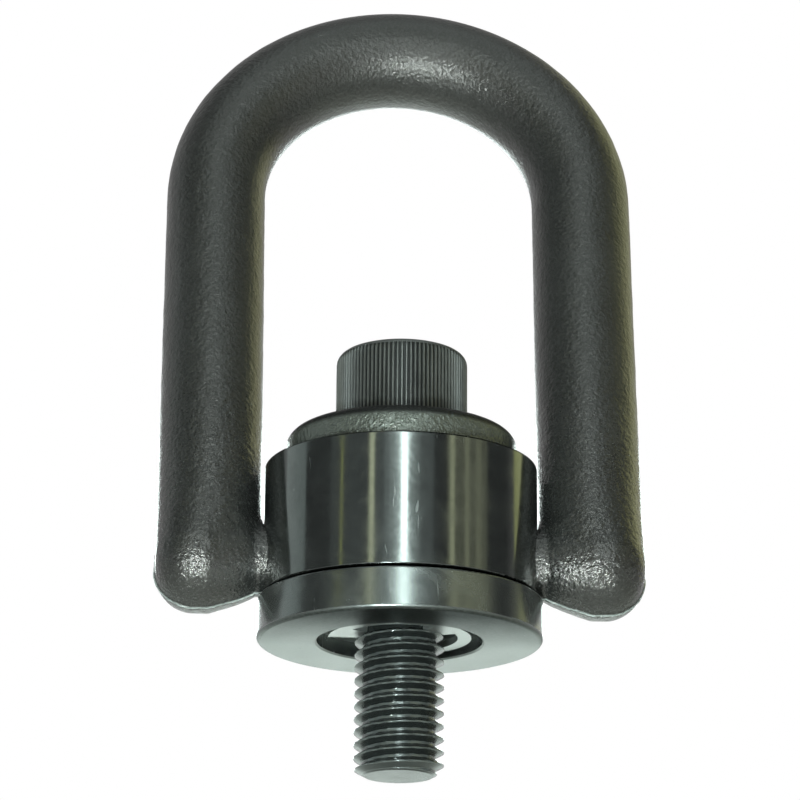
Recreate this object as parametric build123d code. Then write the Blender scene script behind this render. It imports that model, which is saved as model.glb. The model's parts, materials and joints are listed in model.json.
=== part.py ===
"""Centre-pull swivel hoist ring for a 5/8-11 UNC tapped hole, in millimetres.

A U-shaped lifting ring is pivoted on a round body.  The body turns on the tube of a flanged
bushing, and a socket head cap screw clamps washer, bushing and load together.

Frame: origin at the centre of the flange's flat underside, on the screw's axis.
+Z runs up towards the screw head, and X is the axis on which the lifting ring pivots.
"""
from build123d import *
import math
import os

# ---- cap screw, 5/8-11 UNC
thread_radius = 25.4 * 5 / 8 / 2
thread_projection = 0.94 * 25.4     # how far the thread stands out below the flange
head_radius = 11.9
head_height = 15.2
head_top_chamfer = 1.3
head_bottom_chamfer = 0.5
socket_across_flats = 12.7
socket_depth = 7.9
tip_radius = 5.9
tip_chamfer_length = 1.8

# ---- clearances
axial_gap = 0.05          # between clamped faces that lie on each other
running_gap = 0.05        # radial, shafts in their bearings
body_lift = 0.6           # the body rides this far above the flange
screw_bore_radius = 8.2

# ---- flanged bushing
flange_radius = 25.4
flange_height = 7.4
flange_bottom_round = 0.8
flange_top_round = 0.3
tube_radius = 13.9
tube_top = 32.3
recess_radius = 14.7
recess_depth = 3.0

# ---- swivel body
body_radius = 24.5
body_top = 31.8
body_edge_round = 0.3

# ---- top washer
washer_radius = 20.8
washer_thickness = 5.95
washer_round = 2.6
washer_chamfer = 0.4

# ---- retaining ring, an E-clip in a groove of the screw
groove_radius = 6.9
groove_bottom = 0.85
groove_width = 1.3
clip_thickness = 1.2
clip_radius = 12.7
clip_window_radius = 10.3
clip_opening_angle = 140.0      # direction of its mouth, from +X towards +Y
clip_mouth_half_angle = 40.0
clip_prong_angle = 34.0

# ---- lifting ring
pivot_height = 14.5
foot_half_width = 34.55         # screw axis to the middle of each foot
arch_half_width = 35.25         # the legs spread a little on their way up to the arch
ring_bar_radius = 9.4
ring_foot_radius = 9.5
foot_corner_radius = 8.3        # the foot's outer end is squarer than a ball
leg_length = 80.5               # pivot to the start of the arch
lean_angle = 15.0               # the ring rests leaning back by this much, towards +Y
neck_radius = 6.2
neck_end = 23.1
neck_start = 25.0
neck_shoulder_x = 30.0
neck_shoulder_radius = 8.85

# ---- pivot pins, headed on the inside of the body
pin_radius = 4.0
pin_end = 32.5
pin_head_radius = 5.6
pin_head_inner = 14.15
pin_head_outer = 17.2
pin_chamfer = 0.5
blind_hole_end = 33.0

# ---- the body's pockets for the ring's necks and the pins
pocket_radius = neck_radius + 0.12
pocket_floor = neck_end - 0.2
pin_head_pocket_radius = pin_head_radius + 0.2
pin_head_pocket_floor = pin_head_outer + 0.1


def turned(profile):
    """A solid of revolution about Z from (radius, height) corners."""
    outline = make_face(Plane.XZ * Polyline(*profile, close=True))
    return revolve(outline, Axis.Z)


def rim_edge(solid, radius, height):
    """The circular edge about Z with this radius at this height."""
    circles = solid.edges().filter_by(GeomType.CIRCLE)
    return [e for e in circles if abs(e.radius - radius) < 0.01 and abs(e.arc_center.Z - height) < 0.01]


def rod_along_x(radius, start, end, height=0.0):
    """A round rod between two X positions, at the given height."""
    length = abs(end - start)
    rod = extrude(Plane.YZ * Circle(radius), length)
    return Pos(min(start, end), 0, height) * rod


def flanged_bushing():
    inner_edge = recess_radius + 0.3
    bushing = turned([
        (inner_edge, 0),
        (flange_radius, 0),
        (flange_radius, flange_height),
        (tube_radius, flange_height),
        (tube_radius, tube_top - 0.4),
        (tube_radius - 0.4, tube_top),
        (screw_bore_radius + 0.4, tube_top),
        (screw_bore_radius, tube_top - 0.4),
        (screw_bore_radius, recess_depth),
        (recess_radius, recess_depth),
        (recess_radius, 0.3),
    ])
    bushing = fillet(rim_edge(bushing, flange_radius, 0), flange_bottom_round)
    return fillet(rim_edge(bushing, flange_radius, flange_height), flange_top_round)


def swivel_body():
    bottom = flange_height + body_lift
    bore_radius = tube_radius + running_gap
    body = turned([
        (bore_radius, bottom),
        (body_radius, bottom),
        (body_radius, body_top),
        (bore_radius, body_top),
    ])
    for height in (bottom, body_top):
        body = fillet(rim_edge(body, body_radius, height), body_edge_round)
    for side in (-1, 1):
        body -= rod_along_x(pocket_radius, side * pocket_floor, side * (body_radius + 1), pivot_height)
        body -= rod_along_x(pin_radius + running_gap, side * tube_radius / 2, side * body_radius, pivot_height)
        body -= rod_along_x(pin_head_pocket_radius, side * tube_radius / 2,
                            side * pin_head_pocket_floor, pivot_height)
    return body


def top_washer():
    bottom = tube_top + axial_gap
    top = bottom + washer_thickness
    bore_radius = screw_bore_radius + 0.1
    washer = turned([
        (bore_radius, bottom),
        (washer_radius - washer_chamfer, bottom),
        (washer_radius, bottom + washer_chamfer),
        (washer_radius, top),
        (bore_radius, top),
    ])
    return fillet(rim_edge(washer, washer_radius, top), washer_round)


def cap_screw():
    seat = tube_top + washer_thickness + 2 * axial_gap
    top = seat + head_height
    tip = -thread_projection
    screw = turned([
        (0, tip),
        (tip_radius, tip),
        (thread_radius, tip + tip_chamfer_length),
        (thread_radius, groove_bottom),
        (groove_radius, groove_bottom),
        (groove_radius, groove_bottom + groove_width),
        (thread_radius, groove_bottom + groove_width),
        (thread_radius, seat),
        (head_radius - head_bottom_chamfer, seat),
        (head_radius, seat + head_bottom_chamfer),
        (head_radius, top - head_top_chamfer),
        (head_radius - head_top_chamfer, top),
        (0, top),
    ])
    hexagon = RegularPolygon(socket_across_flats / 2, 6, major_radius=False)
    screw -= Pos(0, 0, top - socket_depth) * extrude(hexagon, socket_depth + 1)
    drill_cone = Cone(0.01, socket_across_flats / 2, 2.0, align=(Align.CENTER, Align.CENTER, Align.MAX))
    return screw - Pos(0, 0, top - socket_depth + 0.01) * drill_cone


def sector(radius, middle_angle, half_angle):
    """A pie slice about the origin."""
    first = math.radians(middle_angle - half_angle)
    middle = math.radians(middle_angle)
    last = math.radians(middle_angle + half_angle)
    start = (radius * math.cos(first), radius * math.sin(first))
    crown = (radius * math.cos(middle), radius * math.sin(middle))
    end = (radius * math.cos(last), radius * math.sin(last))
    edges = Polyline(end, (0, 0), start) + ThreePointArc(start, crown, end)
    return make_face(edges)


def retaining_ring():
    """Three prongs reach the groove: one opposite the mouth and one on each side of it."""
    clip = Circle(clip_radius) - Circle(groove_radius + 0.1)
    clip -= sector(clip_radius + 2, clip_opening_angle, clip_mouth_half_angle)
    window_half_angle = (360 - 2 * clip_mouth_half_angle - 3 * clip_prong_angle) / 4
    offset = 180 - clip_prong_angle / 2 - window_half_angle
    for side in (-1, 1):
        window = sector(clip_window_radius, clip_opening_angle + side * offset, window_half_angle)
        clip -= window - Circle(groove_radius - 1)
    bottom = groove_bottom + (groove_width - clip_thickness) / 2
    return Pos(0, 0, bottom) * extrude(clip, clip_thickness)


def ring_leg(side):
    """One leg: it ends in a rounded foot and a neck, both of revolution about the pivot axis."""
    leg = loft([
        Pos(side * foot_half_width, 0, 0) * Circle(ring_foot_radius),
        Pos(side * arch_half_width, 0, leg_length) * Circle(ring_bar_radius),
    ])
    outer_x = foot_half_width + ring_foot_radius
    corner_x = outer_x - foot_corner_radius
    corner_height = ring_foot_radius - foot_corner_radius
    diagonal = foot_corner_radius * math.sqrt(0.5)
    shoulder = ThreePointArc(
        (side * foot_half_width, ring_foot_radius),
        (side * neck_shoulder_x, neck_shoulder_radius),
        (side * neck_start, neck_radius),
    )
    neck_side = Polyline(
        (side * neck_start, neck_radius),
        (side * neck_end, neck_radius),
        (side * neck_end, 0),
        (side * outer_x, 0),
        (side * outer_x, corner_height),
    )
    corner = ThreePointArc(
        (side * outer_x, corner_height),
        (side * (corner_x + diagonal), corner_height + diagonal),
        (side * corner_x, ring_foot_radius),
    )
    top = Line((side * corner_x, ring_foot_radius), (side * foot_half_width, ring_foot_radius))
    foot = revolve(make_face(Plane.XZ * (shoulder + neck_side + corner + top)), Axis.X)
    hole = rod_along_x(pin_radius, side * (neck_end - 1), side * blind_hole_end)
    return leg + foot - hole


def leaning(shape):
    """From upright about the origin to the rest pose about the pivot axis."""
    return Pos(0, 0, pivot_height) * Rot(-lean_angle, 0, 0) * shape


def lifting_ring():
    bar = Pos(-arch_half_width, 0, 0) * Circle(ring_bar_radius)
    arch = Pos(0, 0, leg_length) * revolve(bar, Axis.Y, 180)
    return leaning(ring_leg(-1) + arch + ring_leg(1))


def pivot_pin(side):
    """A headed pin: the shank runs in the body and is pressed into the ring's foot."""
    shank = rod_along_x(pin_radius, side * pin_head_inner, side * pin_end)
    end_edge = shank.edges().filter_by(GeomType.CIRCLE).sort_by(Axis.X)[-1 if side > 0 else 0]
    shank = chamfer(end_edge, pin_chamfer)
    head = rod_along_x(pin_head_radius, side * pin_head_inner, side * pin_head_outer)
    return leaning(shank + head)


parts = {
    "flanged_bushing": flanged_bushing(),
    "swivel_body": swivel_body(),
    "top_washer": top_washer(),
    "cap_screw": cap_screw(),
    "retaining_ring": retaining_ring(),
    "lifting_ring": lifting_ring(),
    "pivot_pin_left": pivot_pin(-1),
    "pivot_pin_right": pivot_pin(1),
}

os.makedirs("parts", exist_ok=True)
for node, shape in parts.items():
    export_step(shape, f"parts/{node}.step")
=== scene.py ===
"""Looks of a centre-pull swivel hoist ring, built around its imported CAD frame.

Everything is in metres in the CAD's frame: origin at the centre of the flange's underside, +Z towards
the screw head, X along the lifting ring's pivot axis.
"""

import json
import math

import bmesh
import bpy
import numpy as np
from mathutils import Matrix, Vector, noise


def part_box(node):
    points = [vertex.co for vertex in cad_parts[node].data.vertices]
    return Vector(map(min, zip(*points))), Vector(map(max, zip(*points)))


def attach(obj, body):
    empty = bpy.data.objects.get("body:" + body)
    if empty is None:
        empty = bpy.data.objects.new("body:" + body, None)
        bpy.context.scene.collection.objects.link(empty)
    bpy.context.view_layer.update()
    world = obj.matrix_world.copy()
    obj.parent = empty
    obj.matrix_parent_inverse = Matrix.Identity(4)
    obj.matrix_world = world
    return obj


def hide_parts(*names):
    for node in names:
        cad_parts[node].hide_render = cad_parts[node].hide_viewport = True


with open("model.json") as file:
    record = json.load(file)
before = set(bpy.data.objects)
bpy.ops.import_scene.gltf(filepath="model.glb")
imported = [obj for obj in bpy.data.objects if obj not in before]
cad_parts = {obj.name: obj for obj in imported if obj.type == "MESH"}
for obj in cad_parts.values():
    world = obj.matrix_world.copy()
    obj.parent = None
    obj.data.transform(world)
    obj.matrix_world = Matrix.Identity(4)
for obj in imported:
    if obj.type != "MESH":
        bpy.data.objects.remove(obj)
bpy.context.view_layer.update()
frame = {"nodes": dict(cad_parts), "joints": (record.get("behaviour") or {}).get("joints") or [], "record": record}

MM = 0.001


# ------------------------------------------------------------------ sizes read from the frame
def joint(name):
    """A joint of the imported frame."""
    return next(j for j in frame["joints"] if j["name"] == name)


def mount(name):
    """A mount of the part's record."""
    return next(m for m in frame["record"]["mounts"] if m["name"] == name)


ring_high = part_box("lifting_ring")[1]
screw_low, screw_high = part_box("cap_screw")
washer_low, washer_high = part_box("top_washer")
clip_low, clip_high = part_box("retaining_ring")
body_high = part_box("swivel_body")[1]

pivot_z = joint("ring_pivot")["pos_m"][2]
eye = mount("lifting_eye")
lean = math.atan2(-eye["axis"][2], eye["axis"][1])
leg_length = math.hypot(eye["pos_m"][1], eye["pos_m"][2] - pivot_z)


# ------------------------------------------------------------------ mesh helpers
def add_object(name, mesh, node, body, material, sharp_degrees=40):
    """Links a finished mesh as a piece that rides on a body and stands for its CAD node."""
    mesh.validate()
    mesh.shade_smooth()
    mesh.set_sharp_from_angle(angle=math.radians(sharp_degrees))
    mesh.materials.append(material)
    piece = bpy.data.objects.new(name, mesh)
    bpy.context.scene.collection.objects.link(piece)
    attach(piece, body)
    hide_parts(node)


def grid_faces(rows, columns):
    """Quads of a grid of rows that close on themselves, listed so that they face outward going up."""
    faces = []
    for row in range(rows - 1):
        for column in range(columns):
            right = (column + 1) % columns
            low, high = row * columns, (row + 1) * columns
            faces.append((low + column, low + right, high + right, high + column))
    return faces


# ------------------------------------------------------------------ node material helpers
class Nodes:
    """A small builder for one material's node tree, around a single Principled BSDF."""

    def __init__(self, name):
        self.material = bpy.data.materials.new(name)
        self.material.use_nodes = True
        self.tree = self.material.node_tree
        self.bsdf = next(n for n in self.tree.nodes if n.type == "BSDF_PRINCIPLED")
        coordinates = self.new("ShaderNodeTexCoord")
        self.place = coordinates.outputs["Object"]
        self.facing = coordinates.outputs["Normal"]

    def new(self, kind, **settings):
        node = self.tree.nodes.new(kind)
        for key, value in settings.items():
            setattr(node, key, value)
        return node

    def link(self, source, target):
        self.tree.links.new(source, target)

    def set(self, **values):
        """Constants on the shader's own sockets, as set(Roughness=0.3)."""
        for key, value in values.items():
            self.bsdf.inputs[key.replace("_", " ")].default_value = value

    def stretch(self, scale):
        """The object's coordinates multiplied by a scale for each axis."""
        mapping = self.new("ShaderNodeMapping")
        mapping.inputs["Scale"].default_value = scale
        self.link(self.place, mapping.inputs["Vector"])
        return mapping.outputs["Vector"]

    def noise(self, scale, detail=4.0, roughness=0.5, distortion=0.0, place=None):
        """Noise with the given number of features per metre."""
        node = self.new("ShaderNodeTexNoise")
        node.inputs["Scale"].default_value = scale
        node.inputs["Detail"].default_value = detail
        node.inputs["Roughness"].default_value = roughness
        node.inputs["Distortion"].default_value = distortion
        self.link(place or self.place, node.inputs["Vector"])
        return node.outputs["Fac"]

    def cells(self, scale):
        """Distance to the nearest of scattered points, with the given number of points per metre."""
        node = self.new("ShaderNodeTexVoronoi")
        node.inputs["Scale"].default_value = scale
        self.link(self.place, node.inputs["Vector"])
        return node.outputs["Distance"]

    def attribute(self, name):
        """A number painted on the mesh's vertices."""
        return self.new("ShaderNodeAttribute", attribute_name=name).outputs["Fac"]

    def part(self, vector, axis):
        """One component of a vector."""
        node = self.new("ShaderNodeSeparateXYZ")
        self.link(vector, node.inputs["Vector"])
        return node.outputs[axis]

    def off_axis(self):
        """Distance from the object's Z axis, in metres."""
        flat = self.new("ShaderNodeVectorMath", operation="LENGTH")
        self.link(self.stretch((1, 1, 0)), flat.inputs["Vector"])
        return flat.outputs["Value"]

    def remap(self, value, low, high, to_low, to_high):
        """A value's range from low to high laid onto another range, and held at its ends."""
        node = self.new("ShaderNodeMapRange")
        limits = {"From Min": low, "From Max": high, "To Min": to_low, "To Max": to_high}
        for key, number in limits.items():
            node.inputs[key].default_value = number
        self.link(value, node.inputs["Value"])
        return node.outputs["Result"]

    def math(self, operation, first, second=0.0):
        """Arithmetic on sockets or plain numbers."""
        node = self.new("ShaderNodeMath", operation=operation)
        for socket, value in zip(node.inputs, (first, second)):
            if isinstance(value, (int, float)):
                socket.default_value = value
            else:
                self.link(value, socket)
        return node.outputs["Value"]

    def blend(self, factor, first, second):
        """A colour between two, by factor."""
        node = self.new("ShaderNodeMix", data_type="RGBA")
        self.link(factor, node.inputs["Factor"])
        for socket, value in zip((node.inputs["A"], node.inputs["B"]), (first, second)):
            if isinstance(value, tuple):
                socket.default_value = (*value, 1.0)
            else:
                self.link(value, socket)
        return node.outputs["Result"]

    def bump(self, height, depth, under=None):
        """A bump of the given depth in metres, over another bump where there is one."""
        node = self.new("ShaderNodeBump")
        node.inputs["Strength"].default_value = 1.0
        node.inputs["Distance"].default_value = depth
        self.link(height, node.inputs["Height"])
        if under is not None:
            self.link(under, node.inputs["Normal"])
        return node.outputs["Normal"]


# ------------------------------------------------------------------ materials
def forged_black_oxide():
    """Shot-blasted forging under mottled oxide: pebbled at the feet, satin on the arch, bright flash."""
    m = Nodes("forged_black_oxide")
    peel = m.noise(1250, 2.0, 0.5)
    grain = m.noise(2600, 3.0, 0.6)
    patches = m.noise(70, 4.0, 0.6)
    m.set(Metallic=0.0, IOR=1.8)
    patchy = m.remap(patches, 0.3, 0.7, 0.0, 1.0)
    oxide = m.blend(patchy, (0.0085, 0.0088, 0.0085), (0.018, 0.0185, 0.018))
    mottled = m.blend(m.remap(grain, 0.42, 0.66, 0.0, 1.0), oxide, (0.025, 0.026, 0.025))
    rubbed = m.blend(m.attribute(FLASH_WEAR), mottled, (0.30, 0.33, 0.32))
    m.link(rubbed, m.bsdf.inputs["Base Color"])
    dimples = m.remap(m.noise(1700, 2.0, 0.5), 0.35, 0.65, 0.0, 1.0)
    m.link(m.blend(dimples, (0.76, 0.72, 0.70), (1.0, 0.94, 0.92)), m.bsdf.inputs["Specular Tint"])
    height = m.part(m.place, "Z")
    sheen = m.remap(grain, 0.3, 0.7, 0.17, 0.30)
    satin = m.remap(height, 20 * MM, 60 * MM, 0.0, 0.14)
    m.link(m.math("ADD", sheen, satin), m.bsdf.inputs["Roughness"])
    pebbled = m.remap(height, 15 * MM, 55 * MM, 1.0, 0.7)
    hammered = m.bump(m.noise(420, 3.0, 0.5), 0.00012)
    peeled = m.bump(m.math("MULTIPLY", peel, pebbled), 0.00026, hammered)
    m.link(m.bump(m.math("MULTIPLY", grain, pebbled), 0.00008, peeled), m.bsdf.inputs["Normal"])
    return m.material


def tilted_faces(m):
    """1 on rounded edges and flat ends, 0 on upright walls, by the way the face points; the materials use it for
    painted shade in the colour and for a rougher finish.
    """
    tilt = m.math("ABSOLUTE", m.part(m.facing, "Z"))
    return m.remap(tilt, 0.15, 0.45, 0.0, 1.0)


def underside_shade(m):
    """Painted shade: 1 on the -Y side of a face that looks down, fading towards its middle, darkening the flange's
    underside in front of the screw.
    """
    downward = m.remap(m.part(m.facing, "Z"), -0.7, -0.2, 1.0, 0.0)
    side = m.remap(m.part(m.place, "Y"), -20 * MM, 3 * MM, 0.8, 0.0)
    return m.math("MULTIPLY", downward, side)


def ground_black_oxide(name, reflectance, roughness, line_depth, smudge, painted_shade):
    """Steel turned or ground and blackened: fine lines round the axis, smudges, dust, scratches, and shade painted
    near black where the given mask is 1.
    """
    m = Nodes(name)
    lines = m.noise(1.0, 4.0, 0.7, 0.0, m.stretch((50, 50, 4200)))
    smudges = m.noise(110, 6.0, 0.70, 0.8)
    mist = m.noise(1500, 2.0, 0.6)
    specks = m.cells(420)
    hairs = m.noise(1.0, 2.0, 0.5, 1.2, m.stretch((900, 900, 120)))
    dark = tuple(channel * 0.75 for channel in reflectance)
    tone = m.blend(m.remap(smudges, 0.35, 0.7, 0.0, 1.0), dark, reflectance)
    # Painted shade: where the mask is 1, the colour goes near black and the reflection is dimmed.
    shaded_areas = painted_shade(m)
    shaded_tone = m.blend(shaded_areas, tone, (0.012, 0.013, 0.0125))
    m.link(m.blend(shaded_areas, (1.0, 1.0, 1.0), (0.25, 0.26, 0.26)), m.bsdf.inputs["Specular Tint"])
    misty = m.blend(m.remap(mist, 0.35, 0.75, 0.0, 0.15), shaded_tone, (0.34, 0.36, 0.35))
    dusty = m.blend(m.remap(specks, 0.02, 0.035, 0.8, 0.0), misty, (0.75, 0.76, 0.74))
    m.set(Metallic=0.95, IOR=1.8)
    m.link(dusty, m.bsdf.inputs["Base Color"])
    worn = m.remap(smudges, 0.42, 0.72, roughness, roughness + smudge)
    scratched = m.math("MAXIMUM", worn, m.remap(hairs, 0.68, 0.76, 0.0, roughness + 2 * smudge))
    m.link(m.math("ADD", scratched, m.math("MULTIPLY", tilted_faces(m), 0.15)), m.bsdf.inputs["Roughness"])
    m.link(m.bump(lines, line_depth), m.bsdf.inputs["Normal"])
    return m.material


def tumbled_black_oxide():
    """The top washer: tumbled, with a fine pebbled skin, and painted shade near black on its rounded edges and
    flat faces.
    """
    m = Nodes("tumbled_black_oxide")
    pebbles = m.noise(1300, 2.0, 0.5)
    grain = m.noise(3200, 3.0, 0.6)
    waves = m.noise(200, 4.0, 0.6)
    m.set(Metallic=0.7, IOR=1.7)
    skin = m.blend(waves, (0.10, 0.109, 0.097), (0.185, 0.20, 0.18))
    # Painted shade: the rounded edges and flat faces are darkened to near black.
    edges = tilted_faces(m)
    m.link(m.blend(edges, skin, (0.012, 0.013, 0.012)), m.bsdf.inputs["Base Color"])
    sheen = m.remap(waves, 0.3, 0.7, 0.19, 0.29)
    m.link(m.math("ADD", sheen, m.math("MULTIPLY", edges, 0.2)), m.bsdf.inputs["Roughness"])
    m.link(m.bump(grain, 0.00006, m.bump(pebbles, 0.00034)), m.bsdf.inputs["Normal"])
    return m.material


def oiled_screw_oxide():
    """Black oxide on alloy steel: an oiled shank with crests paler from wear and roots painted paler as a
    highlight, a dry knurled head with painted shade in its grooves.
    """
    m = Nodes("oiled_screw_oxide")
    film = m.noise(240, 4.0, 0.6)
    fine = m.noise(2600, 2.0, 0.5)
    m.set(Metallic=0.6, IOR=1.9)
    radius = m.off_axis()
    head = m.math("GREATER_THAN", m.part(m.place, "Z"), washer_low.z)
    oiled = m.blend(film, (0.023, 0.027, 0.026), (0.050, 0.057, 0.056))
    dry = m.blend(film, (0.095, 0.099, 0.095), (0.190, 0.197, 0.190))
    # Painted shade: the knurl's grooves are darkened to near black, and tilted faces are kept out of it.
    ridge = m.remap(radius, HEAD_RADIUS - KNURL_DEPTH, HEAD_RADIUS - 0.05 * MM, 0.0, 1.0)
    knurled = m.blend(m.math("MAXIMUM", ridge, tilted_faces(m)), (0.014, 0.015, 0.015), dry)
    oxide = m.blend(head, oiled, knurled)
    tip_face = m.math("LESS_THAN", radius, TIP_RADIUS)
    matt = m.math("MAXIMUM", tip_face, head)
    m.link(m.blend(matt, (1.0, 1.0, 1.0), (0.58, 0.59, 0.58)), m.bsdf.inputs["Specular Tint"])
    # The crests are paler from wear; the roots are painted paler as a painted highlight.
    crest = m.remap(radius, MAJOR_RADIUS - 0.20 * MM, MAJOR_RADIUS - 0.05 * MM, 0.0, 0.24)
    root_radius = MAJOR_RADIUS - THREAD_DEPTH
    root = m.remap(radius, root_radius + 0.02 * MM, root_radius + 0.10 * MM, 0.24, 0.0)
    threaded = m.math("GREATER_THAN", radius, root_radius - 0.1 * MM)
    shank = m.math("SUBTRACT", threaded, head)
    worn = m.math("MULTIPLY", m.math("MAXIMUM", crest, root), m.math("MAXIMUM", shank, 0.0))
    m.link(m.blend(worn, oxide, (0.42, 0.46, 0.455)), m.bsdf.inputs["Base Color"])
    sheen = m.remap(film, 0.3, 0.7, 0.16, 0.26)
    m.link(m.math("ADD", sheen, m.math("MULTIPLY", head, 0.16)), m.bsdf.inputs["Roughness"])
    m.link(m.bump(fine, 0.00004), m.bsdf.inputs["Normal"])
    return m.material


def pale_steel(name, light, roughness):
    """Phosphated spring steel or ground pins: grey, with a fine even grain."""
    m = Nodes(name)
    grain = m.noise(2200, 4.0, 0.6)
    m.set(Metallic=0.8, IOR=1.8)
    dark = tuple(channel * 0.7 for channel in light)
    m.link(m.blend(grain, dark, light), m.bsdf.inputs["Base Color"])
    m.link(m.remap(grain, 0.3, 0.7, roughness, roughness * 1.4), m.bsdf.inputs["Roughness"])
    m.link(m.bump(grain, 0.00002), m.bsdf.inputs["Normal"])
    return m.material


# ------------------------------------------------------------------ lifting ring
BAR_RADIUS = 9.37 * MM
WAVE_ROOM = 0.1 * MM              # kept free inside the CAD's box for the forging's unevenness
ARCH_X = ring_high.x - BAR_RADIUS - WAVE_ROOM    # radius of the arch's centre line
FOOT_X = 34.2 * MM                # centre of the leg at the pivot
FOOT_DEPTH = 9.6 * MM             # from the pivot down to the foot's underside
FOOT_CORNER = 7.0 * MM            # rounding of the foot's outer end and of the squared section
SQUARED_LENGTH = 18 * MM          # the leg's section turns from round to squared over this length
NECK_RADIUS = 6.3 * MM
NECK_START = 26.0 * MM            # where the foot has thinned down to the neck
NECK_END = 23.1 * MM              # the neck's flat end, in the body's pocket
NECK_EDGE = 0.5 * MM              # rounding of the neck's flat end
CROTCH_BLEND = 3.0 * MM           # fillet between the leg and the neck
CROTCH_REACH = 5 * MM             # the fillet grows to its full size over this distance
SEAM_BLEND = 0.05 * MM            # the least blending between the bar and the foot
WALL_X = body_high.x + 0.08 * MM  # beside the body, only the necks reach nearer to the middle
WALL_BLEND = 0.3 * MM             # rounding where the leg is cut back to clear the body
BODY_REACH = 20 * MM              # height above the pivot at which the legs are clear of the body
VOXEL = 0.52 * MM                 # grid of the blank that is pulled onto the skin
FLASH_HEIGHT = 0.34 * MM
FLASH_HALF_WIDTH = 0.34 * MM
FLASH_WEAR = "flash_wear"         # painted on the ring's mesh for its material


def smooth_min(a, b, size):
    """The smaller of two distances, with a blend where they are closer together than the size."""
    h = np.clip(0.5 + 0.5 * (b - a) / size, 0, 1)
    return b * (1 - h) + a * h - size * h * (1 - h)


def rounded(a, b, corner):
    """Distance from a corner of the given radius, where both a and b are measured from its centre."""
    return np.hypot(np.maximum(a, 0), np.maximum(b, 0)) + np.minimum(np.maximum(a, b), 0) - corner


def ring_distance(p):
    """Distance from the upright ring's skin; the pivot is the origin and the legs run up."""
    x, y, up = np.abs(p[:, 0]), np.abs(p[:, 1]), p[:, 2]
    along = np.clip((x - NECK_START) / (FOOT_X - NECK_START), 0, 1)
    thinner = (BAR_RADIUS - NECK_RADIUS) * (1 - along ** 0.75)
    rise = np.clip(up / leg_length, 0, 1)
    leg_x = FOOT_X + (ARCH_X - FOOT_X) * rise
    squared = np.clip(1 - up / SQUARED_LENGTH, 0, 1)
    corner = BAR_RADIUS - (BAR_RADIUS - FOOT_CORNER) * squared ** 2
    depth = BAR_RADIUS - thinner * squared ** 2
    leg = rounded(np.abs(x - leg_x) - BAR_RADIUS + corner, y - depth + corner, corner)
    leg = rounded(leg, -up, 0)
    arch = np.hypot(np.hypot(x, up - leg_length) - ARCH_X, y) - BAR_RADIUS
    bar = np.where(up > leg_length, arch, leg)

    deeper = np.where(up < 0, BAR_RADIUS / FOOT_DEPTH, 1)
    across = np.hypot(y, up * deeper) + thinner - BAR_RADIUS + FOOT_CORNER
    foot = rounded(across, x - FOOT_X - BAR_RADIUS + FOOT_CORNER, FOOT_CORNER)
    foot = -smooth_min(-foot, x - NECK_END, NECK_EDGE)

    inside = np.clip((FOOT_X - x) / CROTCH_REACH, 0, 1)
    above = np.clip(up / CROTCH_REACH, 0, 1)
    skin = smooth_min(bar, foot, SEAM_BLEND + CROTCH_BLEND * inside * above ** 2)
    beside_body = np.minimum(WALL_X - x, BODY_REACH - up)
    clear_of_body = np.minimum(beside_body, np.hypot(y, up) - NECK_RADIUS)
    return -smooth_min(-skin, -clear_of_body, WALL_BLEND)


def field_normals(p):
    """The slope of the distance field, which points straight out of the skin."""
    step = 0.02 * MM
    gradient = np.zeros_like(p)
    for axis in range(3):
        offset = np.zeros(3)
        offset[axis] = step
        gradient[:, axis] = (ring_distance(p + offset) - ring_distance(p - offset)) / (2 * step)
    return gradient


def tube(bm, path, radius, segments=40):
    """A capped tube of rings along a path in the XZ plane."""
    rings = []
    for i, centre in enumerate(path):
        before, after = path[max(i - 1, 0)], path[min(i + 1, len(path) - 1)]
        tangent = (after - before).normalized()
        across = Vector((tangent.z, 0, -tangent.x))
        ring = []
        for k in range(segments):
            turn = 2 * math.pi * k / segments
            rim = math.cos(turn) * across + math.sin(turn) * Vector((0, 1, 0))
            ring.append(bm.verts.new(centre + radius * rim))
        rings.append(ring)
    for low, high in zip(rings, rings[1:]):
        for k in range(segments):
            bm.faces.new((low[k], low[(k + 1) % segments], high[(k + 1) % segments], high[k]))
    bm.faces.new(rings[0][::-1])
    bm.faces.new(rings[-1])


def ring_blank():
    """A rough closed blank of the ring: bar, feet and necks fused on an even grid of quads."""
    bm = bmesh.new()
    arch = [Vector((-ARCH_X * math.cos(a), 0, leg_length + ARCH_X * math.sin(a)))
            for a in np.linspace(0, math.pi, 60)]
    tube(bm, [Vector((-FOOT_X, 0, 0)), *arch, Vector((FOOT_X, 0, 0))], BAR_RADIUS)
    for side in (-1, 1):
        foot = Matrix.Translation((side * FOOT_X, 0, 0))
        bmesh.ops.create_uvsphere(bm, u_segments=40, v_segments=24, radius=BAR_RADIUS, matrix=foot)
        neck = [Vector((side * x, 0, 0)) for x in (NECK_END, NECK_START + 6 * MM, FOOT_X)]
        tube(bm, neck, NECK_RADIUS + MM)
    bmesh.ops.recalc_face_normals(bm, faces=bm.faces)
    mesh = bpy.data.meshes.new("ring_blank")
    bm.to_mesh(mesh)
    bm.free()
    blank = bpy.data.objects.new("ring_blank", mesh)
    bpy.context.scene.collection.objects.link(blank)
    remesh = blank.modifiers.new("even", "REMESH")
    remesh.mode = "VOXEL"
    remesh.voxel_size = VOXEL
    graph = bpy.context.evaluated_depsgraph_get()
    even = bpy.data.meshes.new_from_object(blank.evaluated_get(graph))
    bpy.data.objects.remove(blank)
    return even


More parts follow.
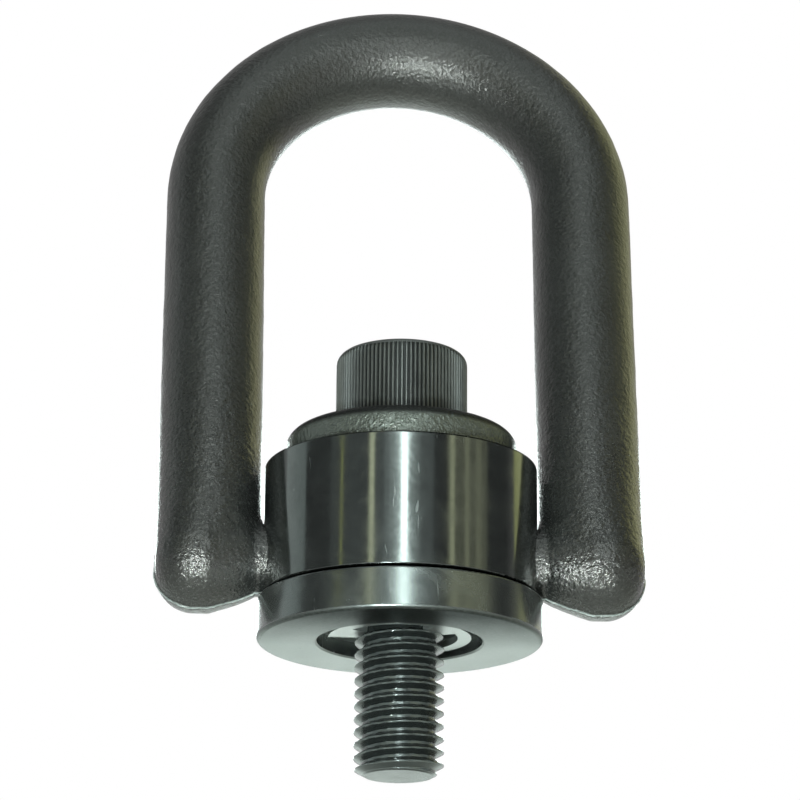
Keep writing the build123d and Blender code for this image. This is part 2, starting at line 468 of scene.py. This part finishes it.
def refine_flash(mesh):
    """More vertices where the trimmed flash runs round the feet."""
    bm = bmesh.new()
    bm.from_mesh(mesh)
    for reach in (1.3 * MM, 0.8 * MM):
        edges = [e for e in bm.edges if all(abs(v.co.y) < reach and v.co.z < 6 * MM for v in e.verts)]
        bmesh.ops.subdivide_edges(bm, edges=edges, cuts=1, use_grid_fill=True)
    bm.to_mesh(mesh)
    bm.free()


def relax(p, edges):
    """Each vertex moved half way to the middle of its neighbours, which evens out the grid."""
    total, count = np.zeros_like(p), np.zeros(len(p))
    for here, there in (edges.T, edges.T[::-1]):
        np.add.at(total, here, p[there])
        np.add.at(count, here, 1)
    return 0.5 * p + 0.5 * total / count[:, None]


def onto_skin(p, steps):
    """Vertices moved along the distance field's slope until they lie on the ring's skin."""
    for _ in range(steps):
        slope = field_normals(p)
        steep = np.maximum((slope ** 2).sum(1), 0.05)
        p = p - (ring_distance(p) / steep)[:, None] * slope
    return p


def noise_at(p, scale):
    """Smooth noise from -1 to 1 at each vertex, with the given number of features per metre."""
    return np.array([noise.noise(Vector(q) * scale) for q in p])


def flash_ridge(p):
    """The trimmed parting line in the ring's mid-plane, 0 to 1: strong under the feet, else faint."""
    wander = noise_at(p, 240) * 0.25 * MM
    half_width = FLASH_HALF_WIDTH * (1 + 0.3 * noise_at(p, 900))
    ridge = np.clip(1 - np.abs(p[:, 1] + wander) / half_width, 0, 1)
    strength = 0.12 + 0.88 * np.clip((3 * MM - p[:, 2]) / (6 * MM), 0, 1)
    return ridge * strength


def forged_waves(p):
    """The blasted forging's slow unevenness."""
    return (noise_at(p, 200) * 0.06 + noise_at(p, 620) * 0.03) * MM


def lifting_ring(material):
    """The forging with its trimmed flash line, leaning as it does at rest."""
    mesh = ring_blank()
    refine_flash(mesh)
    p = np.empty(len(mesh.vertices) * 3)
    mesh.vertices.foreach_get("co", p)
    p = p.reshape(-1, 3)
    edges = np.array([edge.vertices[:] for edge in mesh.edges])
    p = onto_skin(p, steps=8)
    for _ in range(4):
        p = onto_skin(relax(p, edges), steps=2)
    outward = field_normals(p)
    outward /= np.linalg.norm(outward, axis=1)[:, None]
    visible_skin = np.clip((np.abs(p[:, 0]) - body_high.x) / MM, 0, 1)
    flash = flash_ridge(p)
    ragged = FLASH_HEIGHT * (1 + 0.4 * noise_at(p, 1500))
    p += outward * ((flash * ragged + forged_waves(p)) * visible_skin)[:, None]
    wear = mesh.attributes.new(FLASH_WEAR, "FLOAT", "POINT")
    wear.data.foreach_set("value", np.clip(2 * flash - 0.4, 0, 1))
    cos_lean, sin_lean = math.cos(lean), math.sin(lean)
    leaning = np.stack([
        p[:, 0],
        p[:, 1] * cos_lean + p[:, 2] * sin_lean,
        p[:, 2] * cos_lean - p[:, 1] * sin_lean + pivot_z,
    ], axis=1)
    mesh.vertices.foreach_set("co", leaning.ravel())
    mesh.update()
    add_object("forged_lifting_ring", mesh, "lifting_ring", "ring", material, 60)


# ------------------------------------------------------------------ cap screw
PITCH = 25.4 * MM / 11
MAJOR_RADIUS = 25.4 * MM * 5 / 16
THREAD_DEPTH = 1.42 * MM
CREST_HALF_WIDTH = 0.05           # in pitches
FLANK_WIDTH = 0.35                # in pitches
CREST_Z = -6.96 * MM              # height of a thread crest on the -X side
TIP_RADIUS = 6.0 * MM
TIP_CHAMFER = 1.0 * MM
GROOVE_RADIUS = 6.9 * MM
GAP = 0.05 * MM                   # left free beside the clip and under the head
HEAD_RADIUS = screw_high.x
HEAD_SEAT = washer_high.z + GAP
HEAD_EDGE = ((0, 0.75 * MM), (0.3 * MM, 0.42 * MM), (0.95 * MM, 0.36 * MM))    # height, inset
KNURL_START = 1.15 * MM           # height of the smooth edge below the knurl
KNURL_RIDGES = 93
KNURL_DEPTH = 0.32 * MM
CROWN = 2.0 * MM                  # rounding of the head's top edge
TOP_RADII = (8.6 * MM, 7.7 * MM)  # a ring on the flat top, and the mouth of the socket's chamfer
SOCKET_CHAMFER = 0.5 * MM
SOCKET_HALF_FLATS = 6.35 * MM
SOCKET_DEPTH = 7.9 * MM
DRILL_POINT = 1.6 * MM            # depth of the cone below the socket's flats
POLE_RADIUS = 0.3 * MM            # of the small flat faces that close the mesh on the axis
COLUMNS = 4 * KNURL_RIDGES
ROWS_PER_PITCH = 18


def thread_radius(angle, z):
    """A right-hand 60 degree thread with flat crests and roots."""
    turns = (z - CREST_Z) / PITCH - (angle - math.pi) / (2 * math.pi)
    off_crest = np.abs(turns - np.round(turns))
    down = np.clip((off_crest - CREST_HALF_WIDTH) / FLANK_WIDTH, 0, 1)
    return MAJOR_RADIUS - THREAD_DEPTH * down


def cap_screw(material):
    """The screw as rows of radii, from the middle of its tip up and into the hex socket."""
    angle = 2 * math.pi * np.arange(COLUMNS) / COLUMNS
    one = np.ones(COLUMNS)
    tip, top = screw_low.z, screw_high.z
    hexagon = SOCKET_HALF_FLATS / np.cos(angle % (math.pi / 3) - math.pi / 6)
    groove_in_knurl = np.tile([0.0, 0.0, 1.0, 1.0], KNURL_RIDGES)
    rows = [(tip, radius * one) for radius in (POLE_RADIUS, TIP_RADIUS / 2, TIP_RADIUS - 0.15 * MM)]

    thread_top = clip_low.z - GAP
    count = int((thread_top - tip) / PITCH * ROWS_PER_PITCH)
    for z in np.linspace(tip, thread_top, count):
        chamfer = TIP_RADIUS + (z - tip) / TIP_CHAMFER * (MAJOR_RADIUS - TIP_RADIUS)
        rows.append((z, np.minimum(thread_radius(angle, z), chamfer)))
    groove_top = clip_high.z + GAP
    rows += [(thread_top, GROOVE_RADIUS * one), (groove_top, GROOVE_RADIUS * one)]
    rows += [(groove_top, MAJOR_RADIUS * one), (HEAD_SEAT, MAJOR_RADIUS * one)]

    rows += [(HEAD_SEAT + height, (HEAD_RADIUS - inset) * one) for height, inset in HEAD_EDGE]
    knurled = HEAD_RADIUS - KNURL_DEPTH * groove_in_knurl
    rows.append((HEAD_SEAT + KNURL_START, knurled))
    for a in np.linspace(0, math.pi / 2, 7):
        profile = HEAD_RADIUS - CROWN * (1 - math.cos(a))
        rows.append((top - CROWN + CROWN * math.sin(a), np.minimum(knurled, profile)))
    rows += [(top, radius * one) for radius in TOP_RADII]

    socket_floor = top - SOCKET_DEPTH
    rows += [(top - SOCKET_CHAMFER, hexagon), (socket_floor, hexagon)]
    rows += [(socket_floor - 0.1 * MM, 0.9 * hexagon), (socket_floor - DRILL_POINT, POLE_RADIUS * one)]

    vertices = [(r * math.cos(a), r * math.sin(a), z) for z, radii in rows for a, r in zip(angle, radii)]
    faces = grid_faces(len(rows), COLUMNS)
    last = (len(rows) - 1) * COLUMNS
    faces.append(tuple(range(COLUMNS))[::-1])
    faces.append(tuple(range(last, last + COLUMNS)))
    mesh = bpy.data.meshes.new("knurled_cap_screw")
    mesh.from_pydata(vertices, [], faces)
    add_object("knurled_cap_screw", mesh, "cap_screw", "screw", material, 24)


# ------------------------------------------------------------------ CAD nodes that keep their shape
def dress(node, material):
    """Gives a CAD node its material and leaves its mesh alone."""
    slots = frame["nodes"][node].data.materials
    slots.clear()
    slots.append(material)


# ------------------------------------------------------------------ stage, lights and camera
CAMERA_AZIMUTH = -2.5             # degrees, as are the next two
CAMERA_ELEVATION = -18.2
CAMERA_ROLL = 0.5
CAMERA_DISTANCE = 0.545
CAMERA_TARGET = Vector((-0.0003, 0.0, 0.0453))
CAMERA_LENS = 135                 # millimetres, as is the sensor
CAMERA_SENSOR = 36
LIT_POINT = Vector((0, 0, 0.03))  # the panels of light stand round this point and face it
FLOOR_Z = -0.30
FLOOR_HALF_SIZE = 6.0
FADE_START = 1.6                  # distances from the object between which the floor turns white
FADE_END = 4.5
WHITE = (0.86, 1.0, 0.97)
BEIGE = (0.97, 1.0, 0.64)
YELLOW_GREEN = (0.96, 1.0, 0.24)


def direction(azimuth, elevation):
    """From the object towards a place in the studio. Azimuth 0 is the -Y side and 90 is +X."""
    a, e = math.radians(azimuth), math.radians(elevation)
    return Vector((math.sin(a) * math.cos(e), -math.cos(a) * math.cos(e), math.sin(e)))


def floor():
    """A pale floor that glows more the farther it is from the object, fading into the white surroundings."""
    m = Nodes("pale_floor")
    m.set(Base_Color=(0.82, 0.82, 0.80, 1.0), Roughness=0.6, Emission_Color=(1.0, 1.0, 1.0, 1.0))
    m.link(m.remap(m.off_axis(), FADE_START, FADE_END, 0.0, 0.85), m.bsdf.inputs["Emission Strength"])
    mesh = bpy.data.meshes.new("floor")
    corners = [(x * FLOOR_HALF_SIZE, y * FLOOR_HALF_SIZE, FLOOR_Z)
               for x, y in ((-1, -1), (1, -1), (1, 1), (-1, 1))]
    mesh.from_pydata(corners, [], [(0, 1, 2, 3)])
    mesh.materials.append(m.material)
    plane = bpy.data.objects.new("floor", mesh)
    bpy.context.scene.collection.objects.link(plane)


def soft_box(name, azimuth, elevation, width, height, brightness, colour, distance=1.5):
    """A panel of light that faces the object; its width and height are degrees of its sky."""
    light = bpy.data.lights.new(name, "AREA")
    light.shape = "RECTANGLE"
    light.size = 2 * distance * math.tan(math.radians(width / 2))
    light.size_y = 2 * distance * math.tan(math.radians(height / 2))
    light.energy = brightness * math.pi * light.size * light.size_y
    light.color = colour
    lamp = bpy.data.objects.new(name, light)
    bpy.context.scene.collection.objects.link(lamp)
    towards = direction(azimuth, elevation)
    lamp.location = LIT_POINT + towards * distance
    lamp.rotation_mode = "QUATERNION"
    lamp.rotation_quaternion = towards.to_track_quat("Z", "Y")
    lamp.visible_camera = False


def studio_lights():
    """Panels of light; the tall ones stand where the object's upright walls mirror them."""
    soft_box("flash", -12, -24, 8, 8, 170, WHITE, 0.6)
    soft_box("front_core", 0.4, 20, 5, 40, 8, WHITE)
    for width, brightness in ((8, 1.6), (13, 1.1), (20, 0.75), (28, 0.45), (38, 0.2), (50, 0.2)):
        soft_box("front_glow", -1.5, 20, width, 40, brightness, WHITE)
    soft_box("front_high", -1, 55, 70, 22, 0.12, WHITE)
    soft_box("left_beige", -26.5, 20, 4, 40, 1.5, BEIGE)
    soft_box("left_thin", -52.4, 20, 1.2, 40, 1.0, YELLOW_GREEN)
    soft_box("left_dim", -45, 20, 34, 40, 0.10, WHITE)
    soft_box("left_pale", -101, 20, 24, 40, 0.45, WHITE)
    soft_box("right_dim", 55, 20, 36, 40, 0.24, BEIGE)
    soft_box("right_beige_near", 40.5, 20, 4, 40, 0.8, BEIGE)
    soft_box("right_beige_middle", 54, 20, 4, 40, 0.35, BEIGE)
    soft_box("right_beige_far", 65, 20, 5, 40, 0.22, BEIGE)
    soft_box("right_yellow", 126, 32, 38, 40, 0.62, YELLOW_GREEN)
    soft_box("top_soft", 10, 75, 40, 40, 0.8, WHITE)
    floor_wash(size=0.9, energy=22, location=(0, 1.4, 0.35))


def floor_wash(size, energy, location):
    """A panel over the floor behind the object, which shows in faces that look down."""
    light = bpy.data.lights.new("floor_wash", "AREA")
    light.size = size
    light.energy = energy
    light.color = WHITE
    lamp = bpy.data.objects.new("floor_wash", light)
    bpy.context.scene.collection.objects.link(lamp)
    lamp.location = location
    lamp.visible_camera = False


def studio_world():
    """Pale surroundings: white behind the object, dark where the camera stands."""
    world = bpy.data.worlds.new("studio")
    bpy.context.scene.world = world
    world.use_nodes = True
    tree = world.node_tree
    background = tree.nodes["Background"]
    place = tree.nodes.new("ShaderNodeTexCoord")
    split = tree.nodes.new("ShaderNodeSeparateXYZ")
    ramp = tree.nodes.new("ShaderNodeMapRange")
    for key, number in {"From Min": 0.1, "From Max": 1.0, "To Min": 0.05, "To Max": 0.8}.items():
        ramp.inputs[key].default_value = number
    seen = tree.nodes.new("ShaderNodeLightPath")
    pick = tree.nodes.new("ShaderNodeMath")
    pick.operation = "MAXIMUM"
    tree.links.new(place.outputs["Generated"], split.inputs["Vector"])
    tree.links.new(split.outputs["Y"], ramp.inputs["Value"])
    tree.links.new(ramp.outputs["Result"], pick.inputs[0])
    tree.links.new(seen.outputs["Is Camera Ray"], pick.inputs[1])
    tree.links.new(pick.outputs["Value"], background.inputs["Color"])


def camera():
    """The camera that was fitted to the photo, from a little below the object."""
    data = bpy.data.cameras.new("camera")
    data.lens = CAMERA_LENS
    data.sensor_width = CAMERA_SENSOR
    view = bpy.data.objects.new("camera", data)
    bpy.context.scene.collection.objects.link(view)
    towards = direction(CAMERA_AZIMUTH, CAMERA_ELEVATION)
    view.location = CAMERA_TARGET + towards * CAMERA_DISTANCE
    level = towards.to_track_quat("Z", "Y").to_matrix()
    roll = Matrix.Rotation(math.radians(CAMERA_ROLL), 3, "Z")
    view.rotation_mode = "QUATERNION"
    view.rotation_quaternion = (level @ roll).to_quaternion()
    bpy.context.scene.camera = view


bpy.context.scene.view_settings.view_transform = "Standard"

lifting_ring(forged_black_oxide())
cap_screw(oiled_screw_oxide())
# The body's rounded edges and flat ends get painted shade.
dress("swivel_body", ground_black_oxide(
    "ground_black_oxide", reflectance=(0.20, 0.215, 0.21), roughness=0.09,
    line_depth=0.000002, smudge=0.12, painted_shade=tilted_faces))
# The flange's underside gets painted shade on its -Y side.
dress("flanged_bushing", ground_black_oxide(
    "turned_black_oxide", reflectance=(0.25, 0.27, 0.265), roughness=0.20,
    line_depth=0.000006, smudge=0.10, painted_shade=underside_shade))
dress("top_washer", tumbled_black_oxide())
dress("retaining_ring", pale_steel("phosphated_spring_steel", light=(0.36, 0.38, 0.37), roughness=0.30))
pin_steel = pale_steel("ground_pin_steel", light=(0.50, 0.50, 0.49), roughness=0.22)
dress("pivot_pin_left", pin_steel)
dress("pivot_pin_right", pin_steel)

floor()
studio_world()
studio_lights()
camera()
